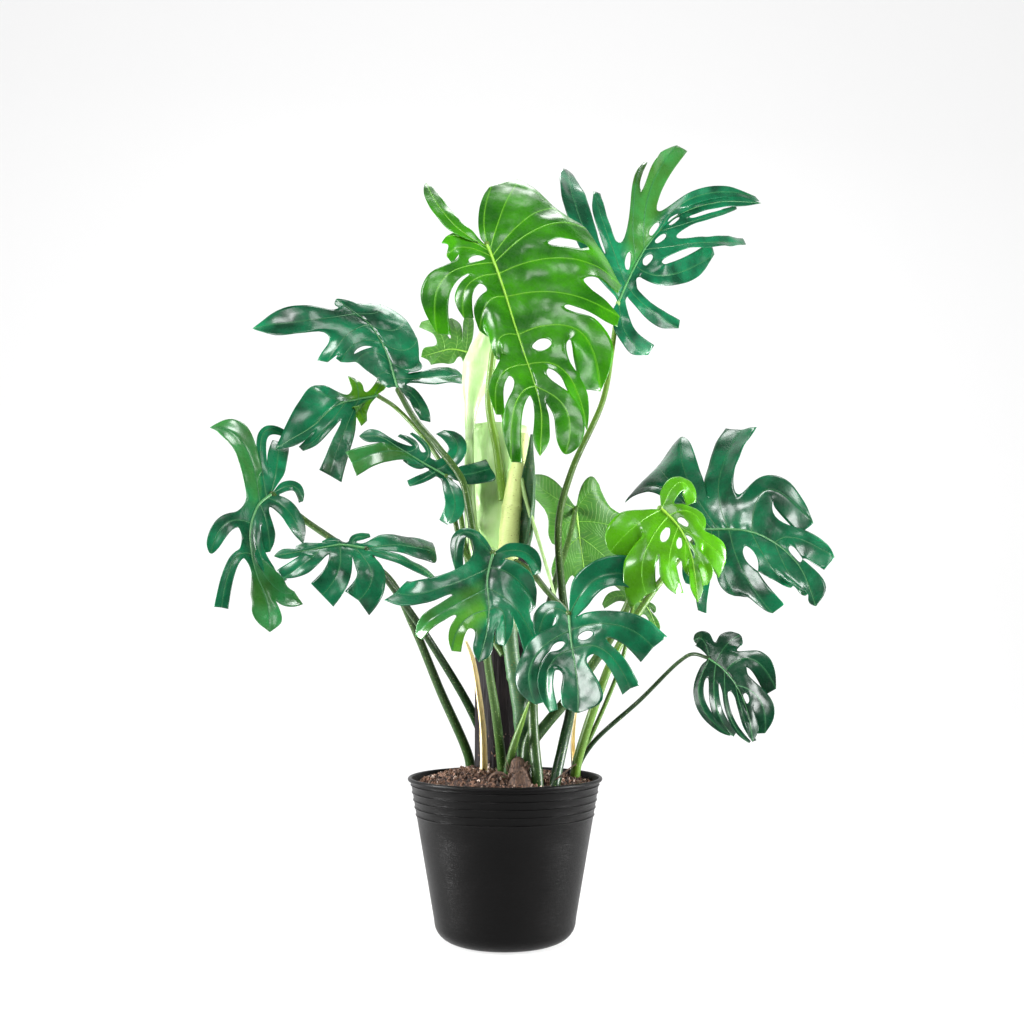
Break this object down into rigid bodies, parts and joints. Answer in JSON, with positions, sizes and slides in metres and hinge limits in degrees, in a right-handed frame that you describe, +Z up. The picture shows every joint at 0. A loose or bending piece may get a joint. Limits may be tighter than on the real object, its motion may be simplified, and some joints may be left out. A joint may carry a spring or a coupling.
{
  "type": "potted swiss cheese plant",
  "caption": "A climbing houseplant with large split and holed leaves on long stalks, growing round a dark pole in a round black nursery pot.",
  "frame": {"origin": "centre of the pot's flat foot, on the ground", "axes": "+Z up along the pot's axis, -Y toward the viewer of the picture, +X to the viewer's right"},
  "size_m": [0.919, 0.609, 1.369],
  "materials": {
    "pot": "satin black moulded plastic",
    "soil": "damp coarse bark and soil mix, matt",
    "pole": "dark fibrous climbing pole, matt",
    "stem": "pale green living stem, satin",
    "sheath": "dry tan leaf sheath, matt",
    "root": "brown fibrous old stem, matt",
    "bud": "pale yellow-green new growth, satin",
    "leaf_bright": "glossy bright green leaf",
    "leaf_dark": "glossy deep green leaf",
    "leaf_under": "matt yellow-green leaf seen from below",
    "stalk": "satin green leaf stalk"
  },
  "bodies": {
    "root": {"pot": "pot", "support_pole": "pole", "main_stem": "stem", "leaf_top_front": "leaf_bright", "stalk_top_front": "stalk", "leaf_top_right": "leaf_dark", "stalk_top_right": "stalk", "leaf_upper_left": "leaf_dark", "stalk_upper_left": "stalk", "leaf_hanging_left": "leaf_dark", "stalk_hanging_left": "stalk", "leaf_far_left": "leaf_dark", "stalk_far_left": "stalk", "leaf_lower_left": "leaf_dark", "stalk_lower_left": "stalk", "leaf_middle_left": "leaf_dark", "stalk_middle_left": "stalk", "leaf_front_left": "leaf_dark", "stalk_front_left": "stalk", "leaf_front_right": "leaf_dark", "stalk_front_right": "stalk", "leaf_back_centre": "leaf_under", "stalk_back_centre": "stalk", "leaf_bright_right": "leaf_bright", "stalk_bright_right": "stalk", "leaf_dark_right": "leaf_dark", "stalk_dark_right": "stalk", "leaf_low_right": "leaf_dark", "stalk_low_right": "stalk", "leaf_behind_top": "leaf_under", "stalk_behind_top": "stalk", "leaf_small_back": "leaf_under", "stalk_small_back": "stalk", "new_leaf": "bud", "aerial_root": "bud", "dry_sheath": "sheath", "side_shoot": "stalk", "old_stub": "root", "soil": "soil"}
  },
  "joints": []
}
